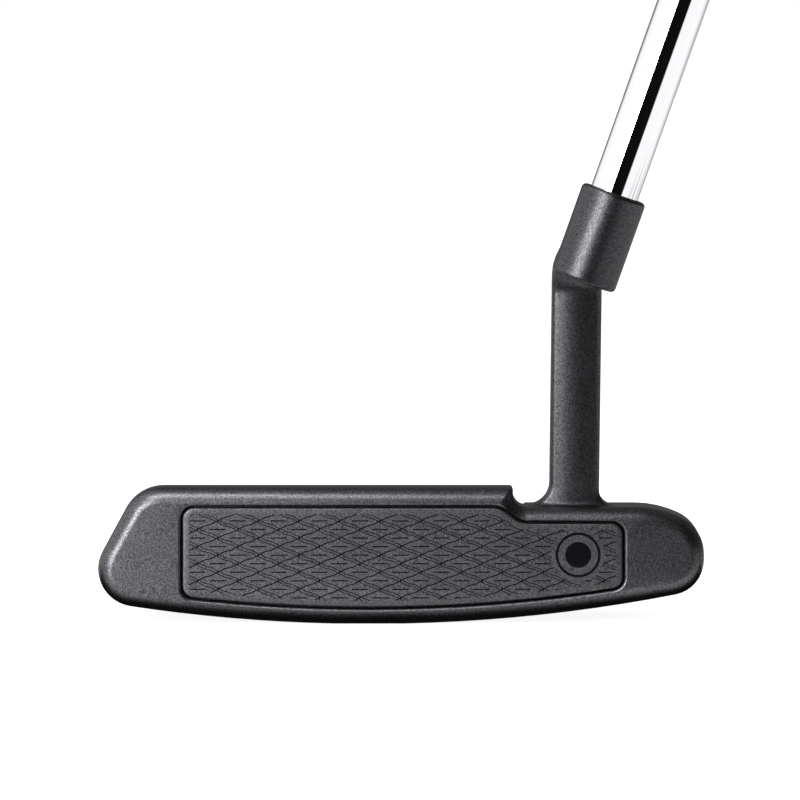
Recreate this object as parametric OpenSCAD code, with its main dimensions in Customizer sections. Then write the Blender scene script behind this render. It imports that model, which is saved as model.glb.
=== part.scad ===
// Blade putter for a right-handed player: insert face, crank neck, stepless steel shaft and pistol grip.
// Millimetres. +Z is up, the face looks along -Y and the heel lies towards +X.
// The origin is the middle of the sole's flat, on the ground.

/* [Head outline, seen from the face] */
// From the middle of the sole to the end of the toe
toe_reach = 52.4; // [44:0.1:62]
// From the middle of the sole to the end of the heel
heel_reach = 64.8; // [58:0.1:76]
// Height of the topline over the toe and the middle
toe_h = 26.45; // [24:0.05:32]
// Height of the topline at the heel, where the neck stands
heel_h = 22.6; // [20:0.05:24]
// Radius of the sole's curve from toe to heel
sole_r = 313; // [220:1:400]
// Width of the flat that the sole rests on
sole_flat_w = 14; // [10:0.5:20]
// Lean of the toe's end away from upright
toe_slant = 28.6; // [20:0.2:36]
// Radius of the toe's top corner
toe_top_r = 8.4; // [3.5:0.1:9]
// Radius of the toe's low corner
toe_low_r = 7.3; // [5:0.1:8.4]
// Radius of the heel's shoulder, where its topline starts to fall
heel_shoulder_r = 20.5; // [14:0.5:24]
// Turn of that shoulder, before the tighter curve of the heel's end
heel_shoulder_a = 25; // [15:1:32]
// Radius of the heel's end under the shoulder
heel_end_r = 7.9; // [6.5:0.1:9]
// Radius of the heel's low corner
heel_low_r = 6.8; // [3.5:0.1:8]
// Radius of the scoop's wall under the topline's heel end
scoop_r = 2.8; // [2:0.1:3.4]
// Size of the eased corner where the topline ends, the horn
horn_r = 0.6; // [0.3:0.1:0.9]

/* [Head depth] */
// From the leading edge to the trailing edge
head_depth = 28; // [25:0.5:34]
// Thickness of the blade at the topline
blade_t = 7; // [6.2:0.1:8.4]
// Loft of the face
loft = 3; // [1:0.5:5]
// Rounding of the face's edge
face_edge_r = 3; // [1.8:0.1:3.2]
// Rounding of the trailing edge
rear_edge_r = 2.4; // [1.6:0.1:3]
// Drop of the bumpers' tops at the trailing edge
bumper_drop = 1.8; // [0.8:0.1:4]

/* [Back cavity] */
// Half the cavity's width at the flange
cavity_half_w = 25.5; // [20:0.5:28]
// Lean of the cavity's side walls
cavity_lean = 18; // [10:1:22]
// Thickness of the flange at the blade
flange_h = 8.2; // [7:0.1:9.6]
// Slope of the flange and of the toe bumper's top, down to the trailing edge
flange_slope = 5; // [2:0.5:7]
// Height of the toe bumper at the blade
bumper_h = 21.9; // [18:0.1:23]
// Radius of the cavity's corners
cavity_r = 5; // [4:0.1:6]
// Fillet between the flange and the blade
cavity_fillet = 2.6; // [2:0.1:3.2]
// Width of the recess in the back of the blade
recess_w = 40; // [30:1:46]
// Depth of that recess
recess_t = 1; // [0.6:0.1:1.2]
// Margin between that recess and the flange, and between it and the topline
recess_margin = 4; // [3.2:0.1:5]

/* [Face insert] */
// Width of face left at the toe
rim_toe = 16.2; // [12:0.1:19]
// Width of face left at the heel
rim_heel = 15.6; // [13:0.1:18]
// Width of face left under the topline, toe half
rim_top = 3.5; // [3:0.1:4.2]
// Width of face left under the topline, heel half
rim_neck = 2.65; // [2.5:0.05:3.4]
// Width of face left above the sole
rim_sole = 3.3; // [2.8:0.05:3.6]
// Radius of the insert pocket's corners
insert_r = 2.4; // [1.8:0.1:2.9]
// Thickness of the insert plate
insert_t = 2.8; // [2.2:0.1:3.2]
// Thickness of the damping pad behind the plate
pad_t = 0.8; // [0.5:0.1:1.1]
// Gap round the plate
insert_gap = 0.3; // [0.15:0.05:0.4]
// Easing of the plate's front edge
insert_edge = 0.4; // [0.2:0.05:0.5]
// Radius of the gloss dot let into the plate
dot_r = 2.5; // [2.4:0.1:4]
// Radius of the insert's two corners under the scoop
insert_step_r = 4.5; // [2:0.5:6]
// Rounding of the pocket's mouth in the head
pocket_edge_r = 0.8; // [0.3:0.1:1]
// Radius of the groove round the dot, along its middle
ring_r = 4.1; // [3.6:0.1:4.8]
// Width of that groove
ring_w = 0.5; // [0.3:0.05:0.7]
// From the pocket's heel end to the middle of the dot
dot_in = 8.85; // [7:0.05:11]
// Height of the dot's middle above the ground
dot_h = 13.6; // [10:0.1:15]
// Thickness of the dot
dot_t = 0.4; // [0.3:0.05:0.6]

/* [Sole weights] */
// From the middle of the sole to each weight
weight_x = 38; // [36:0.5:42]
// Radius of a weight's head
weight_r = 6.2; // [5:0.1:7]
// Thickness of a weight's head
weight_head_t = 2.2; // [1.6:0.1:3]
// Radius of a weight's threaded shank
weight_shank_r = 4.5; // [3.6:0.1:5]
// Length of the shank
weight_shank_l = 6.5; // [5:0.1:8]
// Width across the flats of the key socket
weight_key = 5; // [4:0.5:6]
// Clearance round a weight
weight_gap = 0.1; // [0.05:0.01:0.15]

/* [Neck and hosel] */
// From the point where the shaft meets the ground to the neck's middle
neck_out = 22.35; // [20:0.05:24]
// Width of the neck
neck_w = 9.6; // [8:0.1:10.6]
// Lean of the neck towards the heel
neck_lean = 0.6; // [0:0.1:1.5]
// Depth of the neck
neck_d = 6.6; // [5.5:0.1:7.2]
// From the leading edge back to the neck's front
neck_set = 5.5; // [5.4:0.1:7]
// Bevel along the neck's edges
neck_bevel = 1.1; // [0.7:0.1:1.4]
// Crown of the neck's front
neck_crown = 0.45; // [0.2:0.05:0.7]
// Fillet at the neck's foot, heel side
foot_r = 3; // [2:0.1:3.4]
// Radius of the neck's foot on the side of the scoop
crook_r = 4.3; // [3.4:0.1:4.8]
// Fillet at the neck's foot, front and back
foot_front_r = 1.2; // [0.8:0.1:1.4]
// Radius of the elbow between the neck and the hosel, along its middle
elbow_r = 8; // [6.5:0.1:9]
// From the hosel's lower end up to where the elbow joins it
hosel_in = 5.5; // [4.5:0.1:8]
// Outside radius of the hosel
hosel_r = 6.36; // [5.8:0.02:7.2]
// Length of the hosel
hosel_l = 18.1; // [15:0.1:24]
// Rounding of the hosel's rims
hosel_edge = 0.9; // [0.4:0.1:1]
// Thickness of the hosel's closed end
hosel_floor = 1.8; // [1.2:0.1:2.6]
// From the ground to the hosel's lower end, along the shaft
hosel_low = 70.5; // [66:0.1:78]
// How far the shaft's centreline stands ahead of the leading edge
shaft_ahead = 3.8; // [2.5:0.1:5]

/* [Shaft] */
// Angle between the shaft and the ground
lie = 70.5; // [69:0.5:73]
// Where the shaft's centreline meets the ground, heelwards of the middle of the sole
shaft_x = 17.4; // [16:0.1:20]
// Length of the club, from the ground to the end of the grip
club_l = 863.6; // [780:0.1:1000]
// Radius of the shaft at its tip
tip_r = 4.7; // [4.4:0.05:4.8]
// Radius of the shaft at its butt
butt_r = 7.37; // [6.8:0.01:7.8]
// Length of the parallel tip
tip_l = 150; // [120:5:200]
// Wall of the shaft
shaft_wall = 0.9; // [0.6:0.05:1.2]
// Thickness of the bond between shaft and hosel
bond_t = 0.25; // [0.2:0.01:0.3]

/* [Grip] */
// Length of the grip, with its cap
grip_l = 267; // [220:1:320]
// Half the grip's width at its mouth
grip_mouth = 9.6; // [9.2:0.1:10.5]
// Half the grip's width at its cap
grip_half_w = 12.7; // [11.5:0.1:15]
// From the shaft's centreline to the thumb flat
grip_flat = 10.8; // [10:0.1:13]
// From the shaft's centreline to the palm side, before the pistol swell
grip_palm = 12.4; // [11:0.1:14]
// Height of the pistol swell under the heel of the hand
pistol_swell = 7.5; // [3:0.1:10]
// Thickness of the grip tape
tape_t = 0.3; // [0.2:0.01:0.4]
// Thickness of the grip's cap
cap_t = 5; // [4:0.1:7]
// Radius of the vent hole in the cap
vent_r = 1.6; // [1.2:0.1:2]

/* [Sight line] */
// Width of the painted line on the flange
line_w = 1.2; // [0.8:0.1:1.6]
// Length of the line
line_l = 13; // [9:0.5:14]
// Depth of its groove
line_t = 0.5; // [0.3:0.05:0.7]

/* [Hidden] */
$fn = 72;
far = 70;               // reach of a cut that runs out of the part
fit = 0.03;             // clearance round a bonded piece

tilt = 90 - lie;
lead_y = -head_depth / 2;
back_y = lead_y + blade_t;                                  // back of the blade, at the flange
sole_cz = sqrt(pow(sole_r, 2) - pow(sole_flat_w / 2, 2));   // height of the sole curve's centre
neck_x = shaft_x + neck_out;                                // the neck's middle
neck_y = lead_y + neck_set + neck_d / 2;
bench_y = neck_y + neck_d / 2 + foot_front_r;               // the heel's top is level this far back
scoop_x = neck_x - neck_w / 2 - crook_r;                    // the scoop ends where the neck's foot starts
axis_y = lead_y - shaft_ahead;
weight_y = (back_y - lead_y) / 2;                           // middle of the bumpers
bore_r = tip_r + bond_t;
insert_depth = insert_t + pad_t;

// ---------- lists of points ----------

function unit(v) = v / norm(v);
function mix(a, b, t) = a + (b - a) * t;
function ease(t) = let (c = max(0, min(1, t))) c * c * (3 - 2 * c);

// Height of the sole's curve at x, or of a curve that runs a distance above it
function sole_z(x, up = 0) = sole_cz - sqrt(pow(sole_r - up, 2) - x * x);

// Points on an arc from angle a0 to angle a1
function arc(c, r, a0, a1, n) = [for (i = [0:n]) c + r * [cos(mix(a0, a1, i / n)), sin(mix(a0, a1, i / n))]];

// Points that round the corner b, between a and c, to radius r
function round_corner(a, b, c, r, n) =
    let (u = unit(a - b), v = unit(c - b), half = acos(u * v) / 2,
         m = b + unit(u + v) * r / sin(half),
         p = b + u * r / tan(half) - m, q = b + v * r / tan(half) - m,
         a0 = atan2(p.y, p.x), turn = atan2(p.x * q.y - p.y * q.x, p * q))
    arc(m, r, a0, a0 + turn, n);

// A closed outline through corners [x, z, radius]; a radius of 0 keeps the point
function rounded(k, n = 6) = [for (i = [0:len(k) - 1])
    let (a = k[(i + len(k) - 1) % len(k)], b = k[i], c = k[(i + 1) % len(k)])
    each b[2] == 0 ? [[b.x, b.y]] : round_corner([a.x, a.y], [b.x, b.y], [c.x, c.y], b[2], n)];

// Which way is out at each point, lengthened so that moved edges stay parallel
function outwards(p) = [for (i = [0:len(p) - 1])
    let (n = len(p), u = unit(p[i] - p[(i + n - 1) % n]), v = unit(p[(i + 1) % n] - p[i]), m = unit(u + v))
    [m.y, -m.x] / max(0.5, m * u)];

// An outline moved in by d
function inset(p, d) = let (out = outwards(p)) [for (i = [0:len(p) - 1]) p[i] - d * out[i]];

// ---------- outlines, seen from the face, going round against the clock ----------

// The sole's curve runs into the toe and the heel through low corners that it touches
function low_corner(x, r) = [x, sole_cz - sqrt(pow(sole_r - r, 2) - x * x)];
toe_low = low_corner(toe_low_r - toe_reach, toe_low_r);
heel_low = low_corner(heel_reach - heel_low_r, heel_low_r);
sole_toe_a = asin(toe_low.x / (sole_r - toe_low_r));
sole_heel_a = asin(heel_low.x / (sole_r - heel_low_r));
sole_flat_a = asin(sole_flat_w / 2 / sole_r);
toe_facing = [-cos(toe_slant), sin(toe_slant)];
toe_top_z = toe_h - toe_top_r;
toe_top = [(toe_top_z * toe_facing.y + toe_top_r - toe_low_r - toe_facing * toe_low) / cos(toe_slant), toe_top_z];

// The heel's topline rolls over a wide shoulder into a tighter end
heel_shoulder = [heel_reach - heel_end_r - (heel_shoulder_r - heel_end_r) * sin(heel_shoulder_a), heel_h - heel_shoulder_r];
heel_end = heel_shoulder + (heel_shoulder_r - heel_end_r) * [sin(heel_shoulder_a), cos(heel_shoulder_a)];
heel_end_a = asin(max(0, (heel_low.y - heel_end.y) / heel_end_r));

// The head's outline moved in by d: curves keep their centres, and the topline meets the scoop at a mitred horn
function head_outline(d) =
    let (top = toe_h - d, wall = scoop_r + d, rise = top - heel_h - scoop_r, a = 180 + asin(max(0, -rise / wall)),
         horn = [scoop_x + wall * cos(a), top], c = max(0.05, min(horn_r, rise)))
    concat(
        arc([0, sole_cz], sole_r - d, sole_toe_a - 90, -sole_flat_a - 90, 8),
        arc([0, sole_cz], sole_r - d, sole_flat_a - 90, sole_heel_a - 90, 10),
        [for (i = [1:8]) let (b = mix(sole_heel_a, 90, i / 8)) heel_low + (heel_low_r - d) * [sin(b), -cos(b)]],
        arc(heel_end, heel_end_r - d, heel_end_a, 90 - heel_shoulder_a, 8),
        [for (i = [1:4]) let (b = mix(heel_shoulder_a, 0, i / 4)) heel_shoulder + (heel_shoulder_r - d) * [sin(b), cos(b)]],
        [for (i = [0:7]) mix([heel_shoulder.x, heel_h - d], [scoop_x, heel_h - d], (i + 0.5) / 8)],
        [for (i = [0:8]) let (b = mix(270, a, i / 8.6)) [scoop_x, heel_h + scoop_r] + wall * [cos(b), sin(b)]],
        [horn + [0, -c], horn + c * [-0.3, -0.3], horn + [-c, 0]],
        arc(toe_top, toe_top_r - d, 90, 180 - toe_slant, 10),
        [for (i = [0:11]) let (b = mix(180 - toe_slant, 270 + sole_toe_a, i / 12)) toe_low + (toe_low_r - d) * [cos(b), sin(b)]]);

insert_left = rim_toe - toe_reach;
insert_right = heel_reach - rim_heel;
insert_top = toe_h - rim_top;
insert_low_top = heel_h - rim_neck;
step_x = scoop_x - 1.2;                                     // the insert steps down under the scoop
insert_outline = rounded(concat(
    [[insert_left, sole_z(insert_left, rim_sole), insert_r]],
    [for (i = [1:15]) let (x = mix(insert_left, insert_right, i / 16)) [x, sole_z(x, rim_sole), 0]],
    [[insert_right, sole_z(insert_right, rim_sole), insert_r],
     [insert_right, insert_low_top, insert_r],
     [step_x, insert_low_top, insert_step_r],
     [step_x - (insert_top - insert_low_top) * 1.35, insert_top, insert_step_r],
     [insert_left, insert_top, insert_r]]));

// In the flange's own frame: z is the height above the flange at the blade
cavity_top = toe_h + 8 - flange_h;
shelf = bumper_h - flange_h;
cavity_outline = rounded([
    [-cavity_half_w, 0, cavity_r], [cavity_half_w, 0, cavity_r],
    [cavity_half_w + cavity_top * tan(cavity_lean), cavity_top, 0], [-far, cavity_top, 0],
    [-far, shelf, 0], [-cavity_half_w - shelf * tan(cavity_lean), shelf, cavity_r / 2]], 9);
recess_outline = rounded([for (k = [[-1, 0], [1, 0], [1, 1], [-1, 1]])
    [k.x * recess_w / 2, mix(recess_margin, toe_h - flange_h - recess_margin, k.y), cavity_fillet]]);

// ---------- solids made of rings ----------

// Skins closed rings of equal length and closes both ends with a fan from a hub, which sees the whole of its ring.
// A ring goes round against the clock, seen from the rings after it.
module skin(rings, hubs) {
    n = len(rings[0]);
    m = len(rings);
    function middle(r) = [for (k = [0:2]) (min([for (p = r) p[k]]) + max([for (p = r) p[k]])) / 2];
    polyhedron(
        points = concat([for (r = rings) each r], is_undef(hubs) ? [middle(rings[0]), middle(rings[m - 1])] : hubs),
        faces = concat(
            [for (j = [0:m - 2], i = [0:n - 1]) let (k = (i + 1) % n)
                each [[j * n + i, (j + 1) * n + i, j * n + k], [j * n + k, (j + 1) * n + i, (j + 1) * n + k]]],
            [for (i = [0:n - 1]) [m * n, i, (i + 1) % n]],
            [for (i = [0:n - 1]) [m * n + 1, (m - 1) * n + (i + 1) % n, (m - 1) * n + i]]));
}

// A prism along Y over an outline, from y0 to y1, with a quarter round of radius r on its front edge
module eased_prism(p, hub, y0, y1, r, steps = 4) {
    skin(concat(
        [[for (q = p) [q.x, y1, q.y]]],
        [for (i = [steps:-1:0]) let (a = 90 * i / steps)
            [for (q = inset(p, r * (1 - sin(a)))) [q.x, y0 + r * (1 - cos(a)), q.y]]]),
        [[hub.x, y1, hub.y], [hub.x, y0, hub.y]]);
}

// The same with square edges, exact
module prism(p, y0, y1) translate([0, y1, 0]) rotate([90, 0, 0]) linear_extrude(y1 - y0) polygon(p);

// ---------- places ----------

// The face's frame: its plane is y = 0 and z runs up the face
module on_face() translate([0, lead_y, 0]) rotate([-loft, 0, 0]) children();

// The flange's frame: its top is z = 0 and y runs back from the blade
module on_flange() translate([0, back_y, flange_h]) rotate([-flange_slope, 0, 0]) children();

// The sole at x, with z into the head
module on_sole(x) translate([x, weight_y, sole_z(x)]) rotate([0, -asin(x / sole_r), 0]) children();

// The shaft's frame: z runs up the centreline from the ground and -x is the thumb side
module on_shaft(s = 0) translate([shaft_x, axis_y, 0]) rotate([0, tilt, 0]) translate([0, 0, s]) children();

// ---------- head ----------

module head_blank() {
    tail = 1 - bumper_drop / toe_h;                         // the outline's height shrinks to this at the back
    hub = [scoop_x - 6, heel_h / 3];                        // sees all round both ends
    skin(concat(
        [for (a = [0:18:90]) [for (q = head_outline(rear_edge_r * (1 - sin(a))))
            [q.x, -lead_y - rear_edge_r * (1 - cos(a)), q.y * tail]]],
        [[for (q = head_outline(0)) [q.x, bench_y, q.y]]],
        [for (a = [90:-15:0]) [for (q = head_outline(face_edge_r * (1 - sin(a))))
            [q.x, lead_y + face_edge_r * (1 - cos(a)) + q.y * tan(loft), q.y]]]),
        [[hub.x, -lead_y, hub.y], [hub.x, lead_y + hub.y * tan(loft), hub.y]]);
}

// The insert's pocket, with a rounded mouth
module pocket() skin(concat(
    [[for (q = insert_outline) [q.x, insert_depth, q.y]]],
    [for (a = [0:18:90]) [for (q = inset(insert_outline, -pocket_edge_r * (1 - cos(a))))
        [q.x, pocket_edge_r * (1 - sin(a)) - fit, q.y]]],
    [[for (q = inset(insert_outline, -pocket_edge_r)) [q.x, -2, q.y]]]),
    [for (y = [insert_depth, -2]) [0, y, insert_low_top / 2]]);

module head() color("dimgray") difference() {
    head_blank();
    on_face() pocket();
    on_flange() {
        eased_prism(cavity_outline, [0, shelf + cavity_fillet + 1], 0, far, cavity_fillet);
        prism(recess_outline, -recess_t, 1);
        line_shape(0, line_t);
    }
    for (x = [-weight_x, weight_x]) on_sole(x) weight_seat();
}

// ---------- insert ----------

module face_insert() color("slategray") on_face() difference() {
    eased_prism(inset(insert_outline, insert_gap), [0, insert_low_top / 2], 0, insert_t - fit, insert_edge, 2);
    translate([insert_right - dot_in, dot_t, dot_h]) rotate([90, 0, 0]) {
        cylinder(r = dot_r, h = dot_t + 1);
        translate([0, 0, dot_t / 2]) difference() {
            cylinder(r = ring_r + ring_w / 2, h = dot_t + 1);
            translate([0, 0, -1]) cylinder(r = ring_r - ring_w / 2, h = dot_t + 3);
        }
    }
}

module insert_dot() color("black") on_face()
    translate([insert_right - dot_in, dot_t - fit, dot_h]) rotate([90, 0, 0]) cylinder(r = dot_r - fit, h = dot_t - fit);

module insert_pad() color("darkred") on_face()
    prism(inset(insert_outline, insert_gap + 0.3), insert_t, insert_depth - fit);

// ---------- sight line ----------

// A slot with round ends in the middle of the flange
module line_shape(gap, h) {
    run = line_l - line_w;
    y0 = (head_depth - blade_t) / 2 - run / 2 + cavity_fillet / 2;
    translate([0, y0, gap - line_t]) linear_extrude(h - gap + (gap == 0 ? 1 : 0)) {
        for (y = [0, run]) translate([0, y]) circle(r = line_w / 2 - gap, $fn = 24);
        translate([gap - line_w / 2, 0]) square([line_w - 2 * gap, run]);
    }
}

module sight_line() color("white") on_flange() line_shape(fit, line_t - fit);

// ---------- sole weights ----------

weight_sink = 0.2;      // the head of a weight lies this far inside the sole

module weight_seat() {
    translate([0, 0, -2]) cylinder(r = weight_r + weight_gap, h = 2 + weight_sink + weight_head_t);
    cylinder(r = weight_shank_r + weight_gap, h = weight_sink + weight_head_t + weight_shank_l + weight_gap);
}

module weight() translate([0, 0, weight_sink]) difference() {
    rotate_extrude() polygon([
        [0, 0], [weight_r - 0.4, 0], [weight_r, 0.4], [weight_r, weight_head_t - fit],
        [weight_shank_r, weight_head_t - fit], [weight_shank_r, weight_head_t + weight_shank_l - 0.6],
        [weight_shank_r - 0.6, weight_head_t + weight_shank_l], [0, weight_head_t + weight_shank_l]]);
    translate([0, 0, -1]) linear_extrude(1 + weight_key * 0.6)
        polygon([for (i = [0:5]) weight_key / sqrt(3) * [cos(60 * i), sin(60 * i)]]);
}

module toe_weight() color("silver") on_sole(-weight_x) weight();
module heel_weight() color("silver") on_sole(weight_x) weight();

// ---------- neck and hosel ----------

// A cross-section of the neck as [u, v]: half widths l and r, front f, back b, corner radius c, crown of the front k
function neck_section(l, r, f, b, c, k) = concat(
    arc([r - c, b - c], c, 0, 90, 4), arc([c - l, b - c], c, 90, 180, 4), arc([c - l, c - f], c, 180, 270, 4),
    [for (i = [1:7]) let (t = i / 4 - 1) [mix(c - l, r - c, i / 8), -f - k * (1 - t * t)]],
    arc([r - c, c - f], c, 270, 360, 4));

// How far a foot fillet of radius r stands out at height h
function flare(r, h) = h >= r ? 0 : r - sqrt(r * r - (r - h) * (r - h));

// The neck rises from the heel, bends forward on the elbow and turns to the shaft's angle as it does
module neck_body() {
    straight = (hosel_low + hosel_in) * sin(lie) - elbow_r; // height where the elbow starts
    function middle(z) = neck_x + (z - heel_h) * tan(neck_lean);
    d = neck_d / 2;
    function foot(h) = let (e = flare(foot_front_r, h)) [for (q = neck_section(
            neck_w / 2 + flare(crook_r, h), neck_w / 2 + flare(foot_r, h), d + e, d + e,
            neck_bevel + e, neck_crown))
        [middle(heel_h + h) + q.x, neck_y + q.y, heel_h + h]];
    aside = shaft_x + (hosel_low + hosel_in) * cos(lie) - middle(straight);
    function bend(a) = let (t = tilt * ease(a / 90), up = [sin(t), 0, cos(t)], p = [
            middle(straight) + aside * ease((a - 22) / 68), neck_y - elbow_r * (1 - cos(a)), straight + elbow_r * sin(a)])
        [for (q = neck_section(neck_w / 2, neck_w / 2, d, d, neck_bevel, neck_crown))
            p + q.x * [cos(t), 0, -sin(t)] + q.y * ([0, cos(a), 0] + sin(a) * up)];
    skin(concat(
        [for (h = [0, 0.03, 0.08, 0.17, 0.29, 0.43, 0.6, 0.8, 1]) foot(h * crook_r)],
        [for (a = [0:10:90]) bend(a)]));
}

module hosel_neck() color("dimgray") difference() {
    union() {
        neck_body();
        on_shaft(hosel_low) rotate_extrude() polygon(concat([[0, 0]],
            arc([hosel_r - hosel_edge, hosel_edge], hosel_edge, -90, 0, 6),
            arc([hosel_r - hosel_edge, hosel_l - hosel_edge], hosel_edge, 0, 90, 6),
            [[0, hosel_l]]));
    }
    on_shaft(hosel_low + hosel_floor) cylinder(r = bore_r, h = far);
}

// ---------- shaft ----------

tip_s = hosel_low + hosel_floor + fit;                      // the shaft stands on the hosel's floor
cap_s = club_l - cap_t;                                     // the cap closes the grip from here
grip_s = club_l - grip_l;                                   // mouth of the grip
shaft_end = cap_s - fit;

module shaft() color("lightgray") on_shaft() rotate_extrude() polygon([
    [tip_r - 0.4, tip_s], [tip_r, tip_s + 0.4], [tip_r, tip_s + tip_l], [butt_r, grip_s], [butt_r, shaft_end],
    [butt_r - shaft_wall, shaft_end], [butt_r - shaft_wall, grip_s], [tip_r - shaft_wall, tip_s + tip_l],
    [tip_r - shaft_wall, tip_s]]);

module hosel_bond() color("tan") on_shaft() rotate_extrude() translate([tip_r + fit, tip_s])
    square([bond_t - 2 * fit, hosel_l - hosel_floor - 0.4]);

// ---------- grip ----------

module grip_tape() color("khaki") on_shaft() rotate_extrude() translate([butt_r + fit, grip_s + 1])
    square([tape_t, shaft_end - grip_s - 1]);

// Cross-section of the grip, t from 0 at the mouth to 1 at the end, drawn in by e: flat in front, round in the palm
function grip_ring(t, e, s) =
    let (w = mix(grip_mouth, grip_half_w, ease(t * 1.15)) - e,
         f = mix(grip_mouth, grip_flat, ease(t * 1.6)) - e,
         b = mix(grip_mouth, grip_palm, ease(t * 1.3)) + pistol_swell * (ease((t - 0.52) / 0.36) - 0.35 * ease((t - 0.9) / 0.1)) - e)
    [for (i = [0:35]) let (a = 10 * i + 5, c = cos(a), q = sin(a), n = mix(2, c < 0 ? 3.6 : 2.15, ease(t * 4)),
            m = pow(pow(abs(c), n) + pow(abs(q), n), -1 / n))
        [c * m * (c < 0 ? f : b), q * m * w, s]];

module grip() color("black") on_shaft() difference() {
    skin([for (t = [0, 0.004, 0.015, 0.06, 0.12, 0.2, 0.3, 0.4, 0.5, 0.55, 0.6, 0.65, 0.7, 0.75, 0.8, 0.85, 0.9, 0.95, 1])
        grip_ring(t, t < 0.015 ? 0.9 * pow(1 - t / 0.015, 2) : 0, mix(grip_s, cap_s - fit, t))]);
    translate([0, 0, grip_s - 1]) cylinder(r = butt_r + tape_t + 2 * fit, h = grip_l);
}

module grip_cap() color("black") on_shaft() difference() {
    skin([for (k = [[0, 0.5], [0.02, 0.25], [0.5, 0], [0.62, 0], [0.8, 0.5], [0.92, 1.4], [1, 3]])
        grip_ring(1, k[1], mix(cap_s, club_l, k[0]))]);
    translate([0, 0, cap_s - 1]) cylinder(r = vent_r, h = cap_t + 2, $fn = 36);
}

head();
face_insert();
insert_pad();
insert_dot();
sight_line();
toe_weight();
heel_weight();
hosel_neck();
hosel_bond();
shaft();
grip_tape();
grip();
grip_cap();
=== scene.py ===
"""Looks for the blade putter: blasted head and crank neck, milled insert plate, chromed shaft, rubber grip."""
import math

import bmesh
import bpy
from mathutils import Matrix, Vector


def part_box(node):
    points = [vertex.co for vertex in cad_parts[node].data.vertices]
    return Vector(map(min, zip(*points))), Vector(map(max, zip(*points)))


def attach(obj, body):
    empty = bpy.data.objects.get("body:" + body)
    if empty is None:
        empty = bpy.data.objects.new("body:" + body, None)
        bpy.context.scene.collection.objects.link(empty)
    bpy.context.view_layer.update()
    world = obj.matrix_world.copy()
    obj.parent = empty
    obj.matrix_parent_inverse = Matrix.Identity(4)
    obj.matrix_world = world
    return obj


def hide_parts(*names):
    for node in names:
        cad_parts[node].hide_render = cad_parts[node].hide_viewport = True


MM = 0.001
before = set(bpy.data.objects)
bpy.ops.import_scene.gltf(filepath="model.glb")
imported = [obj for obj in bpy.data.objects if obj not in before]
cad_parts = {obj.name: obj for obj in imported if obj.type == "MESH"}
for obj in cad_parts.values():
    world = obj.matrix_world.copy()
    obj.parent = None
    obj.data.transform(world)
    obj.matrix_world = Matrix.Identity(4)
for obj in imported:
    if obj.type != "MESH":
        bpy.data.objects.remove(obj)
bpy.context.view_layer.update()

# ---------------------------------------------------------------- places

# The face's own frame: x towards the heel, y into the head, z up the face.
LOFT = math.radians(3)
lead_y = min(v.co.y - v.co.z * math.tan(LOFT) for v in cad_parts["face_insert"].data.vertices)
FACE = Matrix.Translation((0, lead_y, 0)) @ Matrix.Rotation(-LOFT, 4, "X")

# ---------------------------------------------------------------- meshes


def new_piece(name, mesh, material, slot, *stands_for):
    obj = bpy.data.objects.new(name, mesh)
    bpy.context.scene.collection.objects.link(obj)
    mesh.materials.clear()
    mesh.materials.append(material)
    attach(obj, "root")
    if stands_for:
        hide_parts(*stands_for)
    return obj


def smooth_edges(bm, crease):
    """Smooth faces, with the edges that turn more than crease degrees kept sharp."""
    limit = math.radians(crease)
    for face in bm.faces:
        face.smooth = True
    for edge in bm.edges:
        edge.smooth = len(edge.link_faces) == 2 and edge.calc_face_angle(0) < limit


def copy_of_node(node, crease=32):
    """The CAD node's triangles as one joined mesh that can be shaded smooth."""
    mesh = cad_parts[node].data.copy()
    bm = bmesh.new()
    bm.from_mesh(mesh)
    bmesh.ops.remove_doubles(bm, verts=bm.verts, dist=2e-7)
    smooth_edges(bm, crease)
    bm.to_mesh(mesh)
    bm.free()
    return mesh


def even_shading(obj):
    """Keeps large flat faces flat beside small rounded edges."""
    mod = obj.modifiers.new("even shading", "WEIGHTED_NORMAL")
    mod.mode = "FACE_AREA"
    mod.weight = 50
    mod.keep_sharp = True
    return obj


# ---------------------------------------------------------------- finishes

_groups = {}


def node_group(name, inputs, outputs):
    tree = bpy.data.node_groups.new(name, "ShaderNodeTree")
    for label, kind, default in inputs:
        socket = tree.interface.new_socket(name=label, in_out="INPUT", socket_type=kind)
        if default is not None:
            socket.default_value = default
    for label, kind in outputs:
        tree.interface.new_socket(name=label, in_out="OUTPUT", socket_type=kind)
    return tree, tree.nodes.new("NodeGroupInput"), tree.nodes.new("NodeGroupOutput")


def math_node(tree, op, a, b=None, c=None, clamp=False):
    node = tree.nodes.new("ShaderNodeMath")
    node.operation = op
    node.use_clamp = clamp
    for socket, value in zip(node.inputs, (a, b, c)):
        if value is None:
            continue
        if hasattr(value, "is_output"):
            tree.links.new(value, socket)
        else:
            socket.default_value = value
    return node.outputs[0]


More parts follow.
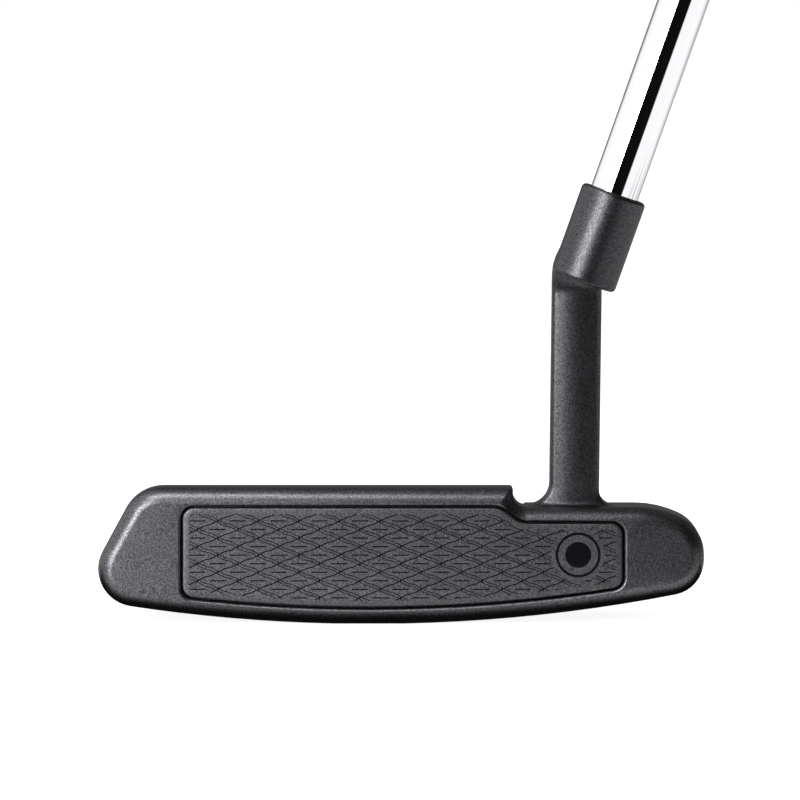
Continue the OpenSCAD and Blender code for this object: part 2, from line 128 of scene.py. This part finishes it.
def blasted_grain():
    """Fine craters and bright flecks of a bead-blasted surface."""
    if "grain" in _groups:
        return _groups["grain"]
    tree, ins, outs = node_group("blasted grain", [
        ("Grain size", "NodeSocketFloat", 0.0002), ("Fleck share", "NodeSocketFloat", 0.2)],
        [("Height", "NodeSocketFloat"), ("Fleck", "NodeSocketFloat"), ("Speckle", "NodeSocketFloat"),
         ("Mottle", "NodeSocketFloat")])
    coord = tree.nodes.new("ShaderNodeTexCoord")
    scale = math_node(tree, "DIVIDE", 1.0, ins.outputs["Grain size"])
    fine = tree.nodes.new("ShaderNodeTexNoise")
    fine.inputs["Detail"].default_value = 2.0
    fine.inputs["Roughness"].default_value = 0.65
    cells = tree.nodes.new("ShaderNodeTexVoronoi")
    broad = tree.nodes.new("ShaderNodeTexNoise")
    broad.inputs["Scale"].default_value = 160
    for node in (fine, cells, broad):
        tree.links.new(coord.outputs["Object"], node.inputs["Vector"])
    tree.links.new(scale, fine.inputs["Scale"])
    tree.links.new(scale, cells.inputs["Scale"])
    height = math_node(tree, "MULTIPLY_ADD", cells.outputs["Distance"], 0.6, fine.outputs["Fac"])
    tree.links.new(height, outs.inputs["Height"])
    pick = math_node(tree, "SUBTRACT", cells.outputs["Color"],
                     math_node(tree, "SUBTRACT", 1.0, ins.outputs["Fleck share"]))
    tree.links.new(math_node(tree, "MULTIPLY", pick, 6.0, clamp=True), outs.inputs["Fleck"])
    tree.links.new(fine.outputs["Fac"], outs.inputs["Speckle"])
    tree.links.new(broad.outputs["Fac"], outs.inputs["Mottle"])
    _groups["grain"] = tree
    return tree


def finish(name, color, roughness, metallic=0.0, **sockets):
    """A material with a Principled shader, its tree and that shader."""
    material = bpy.data.materials.new(name)
    material.use_nodes = True
    tree = material.node_tree
    shader = tree.nodes["Principled BSDF"]
    shader.inputs["Base Color"].default_value = (*color, 1)
    shader.inputs["Roughness"].default_value = roughness
    shader.inputs["Metallic"].default_value = metallic
    for label, value in sockets.items():
        shader.inputs[label.replace("_", " ")].default_value = value
    return material, tree, shader


def bump(tree, shader, height, distance, strength=1.0):
    node = tree.nodes.new("ShaderNodeBump")
    node.inputs["Distance"].default_value = distance
    node.inputs["Strength"].default_value = strength
    tree.links.new(height, node.inputs["Height"])
    tree.links.new(node.outputs["Normal"], shader.inputs["Normal"])
    return node


def ramp(tree, value, low, high, color_low, color_high):
    node = tree.nodes.new("ShaderNodeMapRange")
    node.inputs["From Min"].default_value = low
    node.inputs["From Max"].default_value = high
    mix = tree.nodes.new("ShaderNodeMix")
    mix.data_type = "RGBA"
    tree.links.new(value, node.inputs["Value"])
    tree.links.new(node.outputs["Result"], mix.inputs["Factor"])
    mix.inputs[6].default_value = (*color_low, 1)
    mix.inputs[7].default_value = (*color_high, 1)
    return mix.outputs[2]


def blasted_steel(name, color, roughness, grain=0.0003, depth=0.000016, fleck=0.16, contrast=0.4):
    material, tree, shader = finish(name, color, roughness, 1.0)
    group = tree.nodes.new("ShaderNodeGroup")
    group.node_tree = blasted_grain()
    group.inputs["Grain size"].default_value = grain
    group.inputs["Fleck share"].default_value = fleck
    bump(tree, shader, group.outputs["Height"], depth)
    dark = tuple(c * (1 - contrast) for c in color)
    light = tuple(min(1.0, c * (1 + contrast)) for c in color)
    speckle = math_node(tree, "MULTIPLY_ADD", group.outputs["Fleck"], 0.12, group.outputs["Speckle"])
    tree.links.new(ramp(tree, speckle, 0.36, 0.64, dark, light), shader.inputs["Base Color"])
    rough = tree.nodes.new("ShaderNodeMapRange")
    rough.inputs["To Min"].default_value = roughness - 0.05
    rough.inputs["To Max"].default_value = roughness + 0.05
    tree.links.new(group.outputs["Mottle"], rough.inputs["Value"])
    tree.links.new(rough.outputs["Result"], shader.inputs["Roughness"])
    return material


def drawn_chrome():
    """Polished chrome with the faintest haze."""
    material, tree, shader = finish("polished chrome", (0.9, 0.905, 0.92), 0.04, 1.0)
    coord = tree.nodes.new("ShaderNodeTexCoord")
    noise = tree.nodes.new("ShaderNodeTexNoise")
    noise.inputs["Scale"].default_value = 300
    tree.links.new(coord.outputs["Object"], noise.inputs["Vector"])
    rough = tree.nodes.new("ShaderNodeMapRange")
    rough.inputs["To Min"].default_value = 0.02
    rough.inputs["To Max"].default_value = 0.055
    tree.links.new(noise.outputs["Fac"], rough.inputs["Value"])
    tree.links.new(rough.outputs["Result"], shader.inputs["Roughness"])
    return material


def mottled(name, color, roughness, scale, depth, metallic=0.0, spread=0.25, **sockets):
    """A plain finish with fine relief and a little variation in tone."""
    material, tree, shader = finish(name, color, roughness, metallic, **sockets)
    coord = tree.nodes.new("ShaderNodeTexCoord")
    noise = tree.nodes.new("ShaderNodeTexNoise")
    noise.inputs["Scale"].default_value = scale
    noise.inputs["Detail"].default_value = 3
    tree.links.new(coord.outputs["Object"], noise.inputs["Vector"])
    low = tuple(c * (1 - spread) for c in color)
    high = tuple(min(1, c * (1 + spread)) for c in color)
    tree.links.new(ramp(tree, noise.outputs["Fac"], 0.3, 0.7, low, high), shader.inputs["Base Color"])
    bump(tree, shader, noise.outputs["Fac"], depth)
    return material


head_steel = blasted_steel("blasted dark steel", (0.116, 0.116, 0.124), 0.35, contrast=0.5)
# The neck is the head's blasted steel with a darker base colour: painted shade, not a different finish.
neck_steel_painted_shade = blasted_steel("blasted neck steel with painted shade", (0.078, 0.078, 0.084), 0.37, contrast=0.45)
plate_metal = blasted_steel("milled dark plate", (0.105, 0.106, 0.113), 0.45, fleck=0.2, contrast=0.5)
# Near-black copy of the plate metal for the milled groove floors: painted shade in the grooves, not a different
# metal.
groove_painted_shade = blasted_steel("painted shade of the grooves", (0.012, 0.012, 0.013), 0.6)
turned_steel = mottled("turned steel", (0.45, 0.45, 0.46), 0.3, 900, 0.000004, 1.0, 0.08)
chrome = drawn_chrome()
grip_rubber = mottled("grip rubber", (0.02, 0.02, 0.021), 0.62, 1100, 0.00012, spread=0.35)
cap_rubber = mottled("cap rubber", (0.02, 0.02, 0.021), 0.5, 1400, 0.00001)
gloss_black = mottled("gloss black fill", (0.004, 0.004, 0.005), 0.12, 500, 0.000002, 0.0, 0.1, Coat_Weight=0.6)
line_paint = mottled("sight line paint", (0.82, 0.82, 0.8), 0.35, 900, 0.000006, 0.0, 0.04)
pad_rubber = mottled("pad rubber", (0.03, 0.03, 0.03), 0.7, 1200, 0.00002)
epoxy = mottled("cured epoxy", (0.5, 0.45, 0.33), 0.3, 600, 0.00001)
tape_cloth = mottled("grip tape", (0.62, 0.58, 0.47), 0.8, 2500, 0.00002)

# ---------------------------------------------------------------- carried CAD nodes

for node, material in (("insert_pad", pad_rubber), ("hosel_bond", epoxy), ("grip_tape", tape_cloth)):
    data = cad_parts[node].data
    data.materials.clear()
    data.materials.append(material)

# ---------------------------------------------------------------- pieces whose CAD shape is kept

# CAD node, piece, material, slot: each piece is a joined, smooth copy that stands for its node.
COPIES = (
    ("head", "putter_head", head_steel, "head_steel"),
    ("hosel_neck", "crank_neck", neck_steel_painted_shade, "head_steel"),
    ("sight_line", "flange_line", line_paint, "white_paint"),
    ("toe_weight", "toe_screw", turned_steel, "weight_steel"),
    ("heel_weight", "heel_screw", turned_steel, "weight_steel"),
    ("insert_dot", "gloss_dot", gloss_black, "gloss_black"),
    ("shaft", "steel_shaft", chrome, "shaft_chrome"),
    ("grip", "pistol_grip", grip_rubber, "grip_rubber"),
    ("grip_cap", "butt_cap", cap_rubber, "cap_rubber"),
)
for node, piece, material, slot in COPIES:
    even_shading(new_piece(piece, copy_of_node(node), material, slot, node))

# ---------------------------------------------------------------- milled pattern of the insert plate

# Sizes in mm, in the face's frame.
TILE_A, TILE_B = 3.92, 1.65      # half of a lozenge's length and height
SIDE = [(1.0, 0.0), (0.67, 0.4), (0.5, 0.5), (0.33, 0.6)]   # one waved side, as shares of the two halves
GROOVE = 0.11                    # half of the plain groove between two tiles
CHANNEL = 0.335                  # half of the wide groove that holds a ridge
RIDGE = 0.175                    # half of the ridge's width
RIDGE_GAP = 0.12                 # share of the end segments that a ridge leaves free at a crossing
SLOT_HALF_L, SLOT_HALF_H = 1.55, 0.12
SLOT_SHARE = 0.62                # how far the slot's corners follow the tile's
MILL_DEPTH = 0.28
SINK = 0.01                      # how far a tile reaches into the milled floor
ZONE_IN = 0.8                    # plain border between the plate's edge and the pattern
ROUND_R = 5.2                    # plain round about the dot
BAY_EDGE = 62                    # where that round meets the upper border, in degrees
LATTICE_X, LATTICE_Z = 2.2, 8.6  # the middle of the first grid of tiles
COLUMNS, ROWS = 12, 8
RING_R, RING_HALF = 4.1, 0.25    # the painted ring in the plate's ring groove
RING_TOP, RING_FLOOR = 0.05, 0.19
ROUND_STEPS = 96
ON_PLANE = 0.02 * MM             # a corner this near the face plane lies on it
TOO_NEAR = 0.05                  # corners of an outline nearer than this are one corner


def moved_in(loop, distances):
    """An anticlockwise outline with each edge moved in by its own distance."""
    lines = []
    for i, here in enumerate(loop):
        along = (Vector(loop[(i + 1) % len(loop)]) - Vector(here)).normalized()
        inward = Vector((-along.y, along.x))
        lines.append((Vector(here) + inward * distances[i], along))
    moved = []
    for i, (spot, along) in enumerate(lines):
        before, run = lines[i - 1]
        cross = run.x * along.y - run.y * along.x
        if abs(cross) < 1e-3:
            moved.append(tuple(spot))
            continue
        gap = spot - before
        moved.append(tuple(before + run * ((gap.x * along.y - gap.y * along.x) / cross)))
    return moved


def plate_front():
    """The outline of the plate's flat front in the face's frame, anticlockwise from the front, in mm."""
    bm = bmesh.new()
    bm.from_mesh(copy_of_node("face_insert"))
    bm.transform(FACE.inverted())
    flat = {f for f in bm.faces if all(abs(v.co.y) < ON_PLANE for v in f.verts)}
    follow = {}
    for face in (f for f in bm.faces if f in flat):
        for loop in face.loops:
            if not any(other in flat for other in loop.edge.link_faces if other is not face):
                follow[loop.vert] = loop.link_loop_next.vert
    rims = []
    while follow:
        start, rim = next(iter(follow)), []
        while start in follow:
            rim.append(start)
            start = follow.pop(start)
        rims.append([(v.co.x / MM, v.co.z / MM) for v in rim])
    bm.free()
    rim = max(rims, key=lambda r: max(x for x, z in r) - min(x for x, z in r))
    thin = [rim[0]]
    for point in rim[1:]:
        if (Vector(point) - Vector(thin[-1])).length > TOO_NEAR:
            thin.append(point)
    area = sum(p[0] * q[1] - p[1] * q[0] for p, q in zip(thin, thin[1:] + thin[:1]))
    return thin if area > 0 else thin[::-1]


def prism(bm, outline, front, back):
    """A closed prism through the face's frame on an anticlockwise outline, in mm."""
    ends = [[bm.verts.new((x * MM, y * MM, z * MM)) for x, z in outline] for y in (front, back)]
    bm.faces.new(ends[0])
    bm.faces.new(ends[1][::-1])
    for i in range(len(outline)):
        k = (i + 1) % len(outline)
        bm.faces.new([ends[0][k], ends[0][i], ends[1][i], ends[1][k]])


def prism_mesh(name, outline, front, back):
    bm = bmesh.new()
    prism(bm, outline, front, back)
    bmesh.ops.recalc_face_normals(bm, faces=bm.faces)
    mesh = bpy.data.meshes.new(name)
    bm.to_mesh(mesh)
    bm.free()
    return mesh


def tile_mesh():
    """One raised lozenge with waved sides and a slot, and the ridge along its upper heel side."""
    quarter = [(TILE_A * u, TILE_B * v) for u, v in SIDE]
    turn = [(0.0, TILE_B)] + quarter[:0:-1]
    outline = (quarter + [(-x, z) for x, z in turn]
               + [(-x, -z) for x, z in quarter] + [(x, -z) for x, z in turn])
    n = len(SIDE)
    inset = [CHANNEL] * n + [GROOVE] * n + [CHANNEL] * n + [GROOVE] * n
    rim = moved_in(outline, inset)
    slot = []
    for x, z in outline:
        lift = 0 if abs(z) < 1e-6 else math.copysign(SLOT_HALF_H, z)
        slot.append((max(-SLOT_HALF_L, min(SLOT_HALF_L, x * SLOT_SHARE)), lift))
    bm = bmesh.new()
    low = MILL_DEPTH + SINK
    rings = [[bm.verts.new((x * MM, y * MM, z * MM)) for x, z in loop]
             for loop, y in ((rim, low), (rim, 0.0), (slot, 0.0), (slot, low))]
    for here, there in zip(rings, rings[1:] + rings[:1]):
        for i in range(len(here)):
            k = (i + 1) % len(here)
            bm.faces.new([here[i], here[k], there[k], there[i]])
    spine = [Vector(p) for p in quarter + [(0.0, TILE_B)]]
    spine[0] = spine[0].lerp(spine[1], RIDGE_GAP)
    spine[-1] = spine[-1].lerp(spine[-2], RIDGE_GAP)
    edges = []
    for side in (1, -1):
        bank = []
        for i, spot in enumerate(spine):
            along = (spine[min(i + 1, len(spine) - 1)] - spine[max(i - 1, 0)]).normalized()
            bank.append(tuple(spot + Vector((-along.y, along.x)) * RIDGE * side))
        edges.append(bank)
    prism(bm, edges[1] + edges[0][::-1], 0.0, low)
    bmesh.ops.recalc_face_normals(bm, faces=bm.faces)
    mesh = bpy.data.meshes.new("lozenge tile")
    bm.to_mesh(mesh)
    bm.free()
    return mesh


def lattice_tree():
    """Two grids of tiles, one shifted by half a tile, cut to the shape of the object that carries the tree."""
    tree = bpy.data.node_groups.new("milled lattice", "GeometryNodeTree")
    inputs = {}
    for label, kind, default in (("Zone", "NodeSocketGeometry", None), ("Tile", "NodeSocketObject", None),
                                 ("Step across", "NodeSocketFloat", 2 * TILE_A * MM),
                                 ("Step up", "NodeSocketFloat", 2 * TILE_B * MM),
                                 ("Columns", "NodeSocketInt", COLUMNS), ("Rows", "NodeSocketInt", ROWS),
                                 ("Middle", "NodeSocketVector", None), ("Metal", "NodeSocketMaterial", None)):
        socket = tree.interface.new_socket(name=label, in_out="INPUT", socket_type=kind)
        if default is not None:
            socket.default_value = default
        inputs[label] = socket.identifier
    tree.interface.new_socket(name="Geometry", in_out="OUTPUT", socket_type="NodeSocketGeometry")
    ins = tree.nodes.new("NodeGroupInput")
    outs = tree.nodes.new("NodeGroupOutput")
    link = tree.links.new
    tile = tree.nodes.new("GeometryNodeObjectInfo")
    tile.inputs["As Instance"].default_value = True
    link(ins.outputs["Tile"], tile.inputs["Object"])
    join = tree.nodes.new("GeometryNodeJoinGeometry")
    width = math_node(tree, "MULTIPLY", ins.outputs["Step across"],
                      math_node(tree, "SUBTRACT", ins.outputs["Columns"], 1.0))
    height = math_node(tree, "MULTIPLY", ins.outputs["Step up"],
                       math_node(tree, "SUBTRACT", ins.outputs["Rows"], 1.0))
    for share in (0.0, 0.5):
        grid = tree.nodes.new("GeometryNodeMeshGrid")
        link(width, grid.inputs["Size X"])
        link(height, grid.inputs["Size Y"])
        link(ins.outputs["Columns"], grid.inputs["Vertices X"])
        link(ins.outputs["Rows"], grid.inputs["Vertices Y"])
        shift = tree.nodes.new("ShaderNodeCombineXYZ")
        link(math_node(tree, "MULTIPLY", ins.outputs["Step across"], share), shift.inputs["X"])
        link(math_node(tree, "MULTIPLY", ins.outputs["Step up"], share), shift.inputs["Z"])
        place = tree.nodes.new("ShaderNodeVectorMath")
        place.operation = "ADD"
        link(ins.outputs["Middle"], place.inputs[0])
        link(shift.outputs[0], place.inputs[1])
        stand = tree.nodes.new("GeometryNodeTransform")
        stand.inputs["Rotation"].default_value = (math.pi / 2, 0, 0)
        link(grid.outputs["Mesh"], stand.inputs["Geometry"])
        link(place.outputs[0], stand.inputs["Translation"])
        link(stand.outputs["Geometry"], join.inputs["Geometry"])
    spread = tree.nodes.new("GeometryNodeInstanceOnPoints")
    link(join.outputs["Geometry"], spread.inputs["Points"])
    link(tile.outputs["Geometry"], spread.inputs["Instance"])
    real = tree.nodes.new("GeometryNodeRealizeInstances")
    link(spread.outputs["Instances"], real.inputs["Geometry"])
    trim = tree.nodes.new("GeometryNodeMeshBoolean")
    trim.operation = "INTERSECT"
    link(real.outputs["Geometry"], trim.inputs["Mesh 2"])
    link(ins.outputs["Zone"], trim.inputs["Mesh 2"])
    whole = tree.nodes.new("GeometryNodeRealizeInstances")
    link(trim.outputs["Mesh"], whole.inputs["Geometry"])
    metal = tree.nodes.new("GeometryNodeSetMaterial")
    link(whole.outputs["Geometry"], metal.inputs["Geometry"])
    link(ins.outputs["Metal"], metal.inputs["Material"])
    link(metal.outputs["Geometry"], outs.inputs["Geometry"])
    return tree, inputs


def applied(obj):
    """The object's mesh with its modifiers applied; the object itself is removed."""
    mesh = bpy.data.meshes.new_from_object(obj.evaluated_get(bpy.context.evaluated_depsgraph_get()))
    bpy.data.objects.remove(obj)
    return mesh


def helper(name, mesh):
    """An object that only carries a modifier or is read by one; it is removed after use."""
    obj = bpy.data.objects.new(name, mesh)
    bpy.context.scene.collection.objects.link(obj)
    return obj


dot_low, dot_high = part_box("insert_dot")
dot_at = FACE.inverted() @ ((dot_low + dot_high) / 2)
front = plate_front()


def pattern_zone():
    """Where the pattern lies: the plate's front, moved in, with a bay in its upper side round the dot."""
    rim = moved_in(front, [ZONE_IN] * len(front))
    x, z = dot_at.x / MM, dot_at.z / MM
    zone = []
    for here, there in zip(rim, rim[1:] + rim[:1]):
        zone.append(here)
        if here[0] > x + ROUND_R and there[0] < x - ROUND_R and here[1] > z:
            turns = [math.radians(BAY_EDGE - i * (180 + 2 * BAY_EDGE) / 40) for i in range(41)]
            bay = [(x + ROUND_R * math.cos(t), z + ROUND_R * math.sin(t)) for t in turns]
            zone += [(bay[0][0], here[1]), *bay, (bay[-1][0], here[1])]
    return zone


zone_rim = pattern_zone()


def milled_plate():
    """The insert plate with the zone of the pattern milled down; the cut faces take the painted shade of the
    grooves.
    """
    plate = helper("plate", copy_of_node("face_insert"))
    plate.data.materials.clear()
    plate.data.materials.append(plate_metal)
    zone = prism_mesh("zone", zone_rim, -1.0, MILL_DEPTH)
    zone.transform(FACE)
    zone.materials.append(groove_painted_shade)
    cutter = helper("zone cutter", zone)
    cut = plate.modifiers.new("mill", "BOOLEAN")
    cut.operation = "DIFFERENCE"
    cut.solver = "EXACT"
    cut.material_mode = "TRANSFER"
    cut.object = cutter
    mesh = applied(plate)
    bpy.data.objects.remove(cutter)
    bm = bmesh.new()
    bm.from_mesh(mesh)
    smooth_edges(bm, 32)
    bm.to_mesh(mesh)
    bm.free()
    return mesh


def lattice_mesh():
    """The raised tiles, trimmed to the zone and cleaned of the trimming's doubles and stray edges."""
    tile = helper("tile", tile_mesh())
    zone = helper("lattice", prism_mesh("lattice zone", zone_rim, -1.0, 1.0))
    tree, inputs = lattice_tree()
    mod = zone.modifiers.new("lattice", "NODES")
    mod.node_group = tree
    mod[inputs["Tile"]] = tile
    mod[inputs["Middle"]] = (LATTICE_X * MM, 0.0, LATTICE_Z * MM)
    mod[inputs["Metal"]] = plate_metal
    mesh = applied(zone)
    bpy.data.objects.remove(tile)
    mesh.transform(FACE)
    bm = bmesh.new()
    bm.from_mesh(mesh)
    bmesh.ops.remove_doubles(bm, verts=bm.verts, dist=1e-6)
    bmesh.ops.dissolve_degenerate(bm, edges=bm.edges, dist=1e-7)
    bmesh.ops.holes_fill(bm, edges=[e for e in bm.edges if e.is_boundary], sides=0)
    bmesh.ops.delete(bm, geom=[e for e in bm.edges if e.is_wire], context="EDGES")
    bm.to_mesh(mesh)
    bm.free()
    return mesh


def ring_mesh(inner, outer, low, high):
    """A flat ring of paint round the dot, in the face's frame."""
    bm = bmesh.new()
    rings = []
    for radius, y in ((inner, low), (outer, low), (outer, high), (inner, high)):
        rings.append([bm.verts.new(FACE @ Vector((dot_at.x + radius * MM * math.cos(t), y * MM,
                                                  dot_at.z + radius * MM * math.sin(t))))
                      for t in (2 * math.pi * i / ROUND_STEPS for i in range(ROUND_STEPS))])
    for here, there in zip(rings, rings[1:] + rings[:1]):
        for i in range(ROUND_STEPS):
            k = (i + 1) % ROUND_STEPS
            bm.faces.new([here[i], here[k], there[k], there[i]])
    bmesh.ops.recalc_face_normals(bm, faces=bm.faces)
    smooth_edges(bm, 32)
    mesh = bpy.data.meshes.new("ring")
    bm.to_mesh(mesh)
    bm.free()
    return mesh


plate = new_piece("insert_plate", milled_plate(), plate_metal, "insert_metal", "face_insert")
# The milled floor between the tiles gets the near-black finish: painted shade in the grooves.
plate.data.materials.append(groove_painted_shade)
to_face = FACE.inverted()
for face in plate.data.polygons:
    if abs((to_face @ face.center).y / MM - MILL_DEPTH) < 0.01:
        face.material_index = 1     # the milled floor between the tiles
even_shading(plate)
new_piece("milled_lattice", lattice_mesh(), plate_metal, "insert_metal")
paint = ring_mesh(RING_R - RING_HALF, RING_R + RING_HALF, RING_TOP, RING_FLOOR)
new_piece("gloss_ring", paint, gloss_black, "gloss_black")

# ---------------------------------------------------------------- studio


def stage_plane(name, corners, material):
    mesh = bpy.data.meshes.new(name)
    mesh.from_pydata([Vector(c) for c in corners], [], [tuple(range(len(corners)))])
    mesh.materials.append(material)
    obj = bpy.data.objects.new(name, mesh)
    bpy.context.scene.collection.objects.link(obj)
    return obj


# Bearing in degrees, level: how bright the walls and the floor look in polished metal.
WALLS = [(-180, 0.16), (-150, 0.2), (-130, 1.0), (-100, 1.1), (-35, 1.1), (-31, 0.004), (60, 0.004), (90, 0.12),
         (180, 0.16)]
FLOOR = [(-180, 0.5), (-110, 0.6), (-50, 0.3), (-25, 0.005), (34, 0.005), (38, 1.05), (105, 1.05), (140, 0.45),
         (180, 0.4)]
# Distances on the floor in metres: start and end of each change of level in the floor's painted reflection.
STRIP_IN, STRIP_OUT = (0.014, 0.026), (0.05, 0.085)     # the bright strip just ahead of the face
RING_IN, RING_OUT = (0.16, 0.24), (0.33, 0.45)          # the half-bright ring beyond it
FAR_IN = (0.2, 0.32)                                    # where the bearings' levels take over
# Levels of the floor's painted reflection: the bright strip, the ring, and the painted contact shadow just
# under the head; only reflections show them.
STRIP_LEVEL, RING_LEVEL, CONTACT_SHADOW_LEVEL = 1.1, 0.5, 0.02


def room_levels(name, levels):
    """How bright the room is in each direction, as metal sees it, with its dark side in front of the face.
    The bearing is 0 in front and positive towards the heel, in degrees."""
    tree, ins, outs = node_group(name, [("Direction", "NodeSocketVector", None)],
                                 [("Color", "NodeSocketColor")])
    split = tree.nodes.new("ShaderNodeSeparateXYZ")
    tree.links.new(ins.outputs["Direction"], split.inputs[0])
    ahead = math_node(tree, "MULTIPLY", split.outputs["Y"], -1.0)
    bearing = math_node(tree, "ARCTAN2", split.outputs["X"], ahead)
    curve = tree.nodes.new("ShaderNodeValToRGB")
    tree.links.new(math_node(tree, "MULTIPLY_ADD", bearing, 0.5 / math.pi, 0.5), curve.inputs[0])
    elements = curve.color_ramp.elements
    while len(elements) > 1:
        elements.remove(elements[-1])
    for i, (angle, level) in enumerate(levels):
        element = elements[0] if i == 0 else elements.new((angle + 180) / 360)
        element.position = (angle + 180) / 360
        element.color = (level, level, level * 1.02, 1)
    tree.links.new(curve.outputs[0], outs.inputs["Color"])
    return tree


def room_color(tree, output, name, levels):
    coord = tree.nodes.new("ShaderNodeTexCoord")
    group = tree.nodes.new("ShaderNodeGroup")
    group.node_tree = room_levels(name, levels)
    tree.links.new(coord.outputs[output], group.inputs["Direction"])
    return group.outputs["Color"]


def step(tree, value, start, end, low, high):
    """Goes smoothly from low to high while value goes from start to end."""
    node = tree.nodes.new("ShaderNodeMapRange")
    node.interpolation_type = "SMOOTHSTEP"
    for label, number in (("From Min", start), ("From Max", end), ("To Min", low), ("To Max", high)):
        node.inputs[label].default_value = number
    tree.links.new(value, node.inputs["Value"])
    return node.outputs["Result"]


def floor_finish():
    """White to the camera, a painted reflection for metal (a painted contact shadow, a bright strip, a ring and
    the bearings' levels), and a plain pale floor to the light.
    """
    material = bpy.data.materials.new("studio floor")
    material.use_nodes = True
    tree = material.node_tree
    tree.nodes.remove(tree.nodes["Principled BSDF"])
    path = tree.nodes.new("ShaderNodeLightPath")
    plain = tree.nodes.new("ShaderNodeBsdfDiffuse")
    plain.inputs["Color"].default_value = (0.7, 0.7, 0.7, 1)
    glow = tree.nodes.new("ShaderNodeEmission")
    glow.inputs["Strength"].default_value = 0.9
    seen = tree.nodes.new("ShaderNodeAddShader")
    tree.links.new(glow.outputs[0], seen.inputs[0])
    tree.links.new(plain.outputs[0], seen.inputs[1])
    # Painted reflection: what metal sees in the floor, with a painted contact shadow, a bright strip and a
    # ring.
    painted_reflection = tree.nodes.new("ShaderNodeEmission")
    coord = tree.nodes.new("ShaderNodeTexCoord")
    reach = tree.nodes.new("ShaderNodeVectorMath")
    reach.operation = "LENGTH"
    tree.links.new(coord.outputs["Object"], reach.inputs[0])
    split = tree.nodes.new("ShaderNodeSeparateXYZ")
    tree.links.new(coord.outputs["Object"], split.inputs[0])
    ahead = math_node(tree, "ABSOLUTE", split.outputs["Y"])
    away = reach.outputs["Value"]
    strip = math_node(tree, "MULTIPLY", step(tree, ahead, *STRIP_IN, CONTACT_SHADOW_LEVEL, STRIP_LEVEL),
                      step(tree, ahead, *STRIP_OUT, 1.0, 0.0))
    ring = math_node(tree, "MULTIPLY", step(tree, away, *RING_IN, 0.0, RING_LEVEL),
                     step(tree, away, *RING_OUT, 1.0, 0.0))
    far = math_node(tree, "MULTIPLY", room_color(tree, "Object", "floor levels", FLOOR),
                    step(tree, away, *FAR_IN, 0.0, 1.0))
    brightest = math_node(tree, "MAXIMUM", strip, math_node(tree, "MAXIMUM", ring, far))
    tree.links.new(brightest, painted_reflection.inputs["Color"])
    lower = plain.outputs[0]
    for ray, shader in (("Is Glossy Ray", painted_reflection), ("Is Camera Ray", seen)):
        pick = tree.nodes.new("ShaderNodeMixShader")
        tree.links.new(path.outputs[ray], pick.inputs[0])
        tree.links.new(lower, pick.inputs[1])
        tree.links.new(shader.outputs[0], pick.inputs[2])
        lower = pick.outputs[0]
    tree.links.new(lower, tree.nodes["Material Output"].inputs["Surface"])
    return material


FLOOR_HALF = 6.0
stage_plane("floor", [(x * FLOOR_HALF, y * FLOOR_HALF, 0) for x, y in ((-1, -1), (1, -1), (1, 1), (-1, 1))],
            floor_finish())


def area_light(name, place, aim, width, height, watts):
    data = bpy.data.lights.new(name, "AREA")
    data.shape = "RECTANGLE"
    data.size = width
    data.size_y = height
    data.energy = watts
    obj = bpy.data.objects.new(name, data)
    obj.location = place
    obj.rotation_euler = (Vector(aim) - Vector(place)).to_track_quat("-Z", "Y").to_euler()
    bpy.context.scene.collection.objects.link(obj)


# The first lights the face from the toe side, the second the rounded top edge.
area_light("key left", (-0.245, -0.45, 0.16), (-0.01, 0, 0.045), 0.22, 0.30, 2.05)
area_light("top front", (-0.12, -0.28, 0.42), (-0.02, 0, 0.02), 0.2, 0.2, 1.15)


def studio_world():
    """White to the camera, the room's levels to metal, and soft even light to the rest."""
    world = bpy.data.worlds.new("studio")
    bpy.context.scene.world = world
    world.use_nodes = True
    tree = world.node_tree
    soft = tree.nodes["Background"]
    soft.inputs["Color"].default_value = (1, 1, 1, 1)
    soft.inputs["Strength"].default_value = 0.5
    path = tree.nodes.new("ShaderNodeLightPath")
    mirror = tree.nodes.new("ShaderNodeBackground")
    tree.links.new(room_color(tree, "Generated", "wall levels", WALLS), mirror.inputs["Color"])
    white = tree.nodes.new("ShaderNodeBackground")
    white.inputs["Color"].default_value = (1, 1, 1, 1)
    lower = soft.outputs[0]
    for ray, shader in (("Is Glossy Ray", mirror), ("Is Camera Ray", white)):
        pick = tree.nodes.new("ShaderNodeMixShader")
        tree.links.new(path.outputs[ray], pick.inputs[0])
        tree.links.new(lower, pick.inputs[1])
        tree.links.new(shader.outputs[0], pick.inputs[2])
        lower = pick.outputs[0]
    tree.links.new(lower, tree.nodes["World Output"].inputs["Surface"])


studio_world()

# ---------------------------------------------------------------- camera

scene = bpy.context.scene
scene.view_settings.view_transform = "Standard"
camera = bpy.data.objects.new("camera", bpy.data.cameras.new("camera"))
scene.collection.objects.link(camera)
scene.camera = camera
CAMERA_AIM = Vector((6, -13.5, 43.55)) * MM
CAMERA_TIP = math.radians(4.3)
CAMERA_AWAY = 1.0
camera.location = CAMERA_AIM + Vector((0, -math.cos(CAMERA_TIP), math.sin(CAMERA_TIP))) * CAMERA_AWAY
camera.rotation_euler = (CAMERA_AIM - camera.location).to_track_quat("-Z", "Y").to_euler()
camera.data.sensor_width = 36
camera.data.lens = 234
camera.data.clip_start = 0.01
camera.data.clip_end = 50
